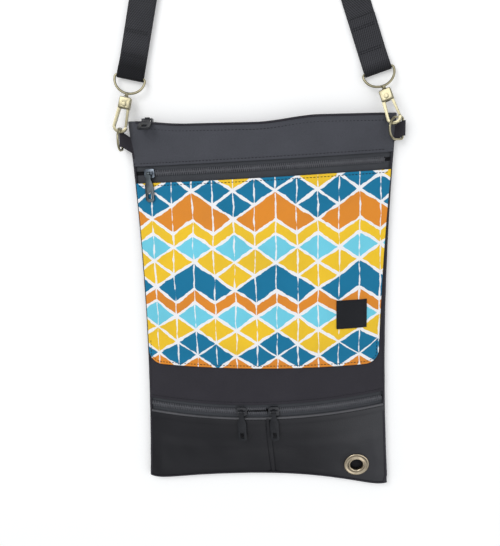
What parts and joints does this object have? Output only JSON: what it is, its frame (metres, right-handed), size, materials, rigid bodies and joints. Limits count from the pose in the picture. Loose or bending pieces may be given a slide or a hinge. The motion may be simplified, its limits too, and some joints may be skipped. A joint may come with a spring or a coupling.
{
  "type": "flat zippered crossbody bag",
  "caption": "Flat rectangular crossbody bag with a printed front pocket, zips, an eyelet and a clip-on webbing strap, lying on its back.",
  "frame": {"origin": "middle of the back panel's outer face, which the bag lies on", "axes": "+X to the right of the front, +Y up the bag towards the strap, +Z square out of the front"},
  "size_m": [0.2727, 0.7051, 0.0304],
  "materials": {
    "black_fabric": "woven black nylon cloth",
    "band_fabric": "woven charcoal nylon cloth",
    "lining_fabric": "thin woven lining cloth",
    "grained_leather": "grained black imitation leather",
    "zip_tape": "woven zip tape",
    "zip_coil": "nylon coil teeth",
    "slider_metal": "black-coated die-cast zinc",
    "pull_metal": "dark nickel-coloured zip pull",
    "webbing": "twill-woven black webbing",
    "pale_gold": "bright pale gold plating",
    "old_brass": "antique brass plating",
    "label_weave": "dense woven label, blank",
    "printed_fabric": "woven cloth printed with chevrons and diamonds in teal, orange, yellow and cyan"
  },
  "bodies": {
    "bag": {"back_lining": "lining_fabric", "back_panel": "black_fabric", "centre_panel": "black_fabric", "eyelet_front": "old_brass", "eyelet_washer": "old_brass", "front_lining": "lining_fabric", "front_top_band": "band_fabric", "front_zip_coil": "zip_coil", "front_zip_tape_lower": "zip_tape", "front_zip_tape_upper": "zip_tape", "label": "label_weave", "lower_pocket": "grained_leather", "lower_zip_coil_left": "zip_coil", "lower_zip_coil_right": "zip_coil", "lower_zip_tape_lower": "zip_tape", "lower_zip_tape_upper": "zip_tape", "printed_pocket": "printed_fabric", "strap": "webbing", "tab_left": "black_fabric", "tab_right": "black_fabric", "top_zip_coil": "zip_coil", "top_zip_tape_back": "zip_tape", "top_zip_tape_front": "zip_tape"},
    "front_slider": {"front_zip_slider": "slider_metal"},
    "lower_slider_left": {"lower_zip_slider_left": "slider_metal"},
    "lower_slider_right": {"lower_zip_slider_right": "slider_metal"},
    "top_slider": {"top_zip_slider": "slider_metal"},
    "front_pull": {"front_zip_pull": "pull_metal"},
    "lower_pull_left": {"lower_zip_pull_left": "pull_metal"},
    "lower_pull_right": {"lower_zip_pull_right": "pull_metal"},
    "top_pull": {"top_zip_pull": "pull_metal"},
    "ring_left": {"tab_ring_left": "pale_gold"},
    "eye_left": {"hook_eye_left": "pale_gold"},
    "hook_left": {"hook_body_left": "pale_gold", "hook_rivet_left": "pale_gold"},
    "gate_left": {"hook_gate_left": "pale_gold"},
    "ring_right": {"tab_ring_right": "pale_gold"},
    "eye_right": {"hook_eye_right": "pale_gold"},
    "hook_right": {"hook_body_right": "pale_gold", "hook_rivet_right": "pale_gold"},
    "gate_right": {"hook_gate_right": "pale_gold"},
    "strap_slide": {"strap_slide": "pale_gold"}
  },
  "joints": [
    {"name": "front_zip_travel", "type": "hinge", "parent": "bag", "child": "front_slider", "pos_m": [0.0002, 0.14031, -0.3775], "axis": [-0.0383, 0.9993, 0], "range_deg": [0, 30.38], "deforming": ["front_zip_coil"]},
    {"name": "lower_zip_travel_left", "type": "hinge", "parent": "bag", "child": "lower_slider_left", "pos_m": [-0.00241, -0.01358, -0.33463], "axis": [-0.0281, 0.973, 0.2293], "range_deg": [-12.75, 0], "deforming": ["lower_zip_coil_left"]},
    {"name": "lower_zip_travel_right", "type": "hinge", "parent": "bag", "child": "lower_slider_right", "pos_m": [-0.00241, -0.01358, -0.33463], "axis": [-0.0281, 0.973, 0.2293], "range_deg": [0, 15.2], "deforming": ["lower_zip_coil_right"]},
    {"name": "top_zip_travel", "type": "slide", "parent": "bag", "child": "top_slider", "axis": [1, 0, 0], "range_m": [0, 0.211], "deforming": ["top_zip_coil"]},
    {"name": "front_pull_swing", "type": "hinge", "parent": "front_slider", "child": "front_pull", "pos_m": [-0.10737, 0.13617, 0.01423], "axis": [-0.9645, -0.0369, -0.2615], "range_deg": [0, 150]},
    {"name": "lower_pull_swing_left", "type": "hinge", "parent": "lower_slider_left", "child": "lower_pull_left", "pos_m": [-0.02383, -0.0984, 0.02799], "axis": [-0.9979, -0.0139, -0.0633], "range_deg": [0, 150]},
    {"name": "lower_pull_swing_right", "type": "hinge", "parent": "lower_slider_right", "child": "lower_pull_right", "pos_m": [0.00811, -0.09765, 0.02866], "axis": [-0.9992, -0.034, 0.0216], "range_deg": [0, 150]},
    {"name": "top_pull_swing", "type": "hinge", "parent": "top_slider", "child": "top_pull", "pos_m": [-0.107, 0.18525, 0.0067], "axis": [-1, 0, 0], "range_deg": [0, 150]},
    {"name": "tab_ring_swing_left", "type": "hinge", "parent": "bag", "child": "ring_left", "pos_m": [-0.1325, 0.1684, 0.0062], "axis": [0, 1, 0], "range_deg": [-1.5, 4]},
    {"name": "hook_eye_tilt_left", "type": "hinge", "parent": "bag", "child": "eye_left", "pos_m": [-0.12144, 0.22562, 0.00535], "axis": [0.9755, -0.2198, 0], "range_deg": [-0.5, 1.8]},
    {"name": "hook_swivel_left", "type": "hinge", "parent": "eye_left", "child": "hook_left", "pos_m": [-0.12144, 0.22562, 0.00535], "axis": [0.2163, 0.9597, -0.1797], "range_deg": [-10, 10]},
    {"name": "hook_gate_swing_left", "type": "hinge", "parent": "hook_left", "child": "gate_left", "pos_m": [-0.12716, 0.20023, 0.0101], "axis": [-0.0395, -0.1753, -0.9837], "range_deg": [0, 15], "stiffness_Nm_per_rad": 0.02},
    {"name": "tab_ring_swing_right", "type": "hinge", "parent": "bag", "child": "ring_right", "pos_m": [0.1315, 0.173, 0.0062], "axis": [0, 1, 0], "range_deg": [-0.8, 2]},
    {"name": "hook_eye_tilt_right", "type": "hinge", "parent": "bag", "child": "eye_right", "pos_m": [0.10822, 0.22537, 0.00315], "axis": [0.9511, 0.309, 0], "range_deg": [-0.2, 0.3]},
    {"name": "hook_swivel_right", "type": "hinge", "parent": "eye_right", "child": "hook_right", "pos_m": [0.10822, 0.22537, 0.00315], "axis": [-0.2961, 0.9113, -0.2863], "range_deg": [-5, 3.5]},
    {"name": "hook_gate_swing_right", "type": "hinge", "parent": "hook_right", "child": "gate_right", "pos_m": [0.11605, 0.20127, 0.01072], "axis": [0.3159, -0.1894, -0.9297], "range_deg": [0, 4.5], "stiffness_Nm_per_rad": 0.02},
    {"name": "strap_slide_travel", "type": "slide", "parent": "bag", "child": "strap_slide", "axis": [0.2198, 0.9755, 0], "range_m": [-0.04, 0.035]}
  ]
}
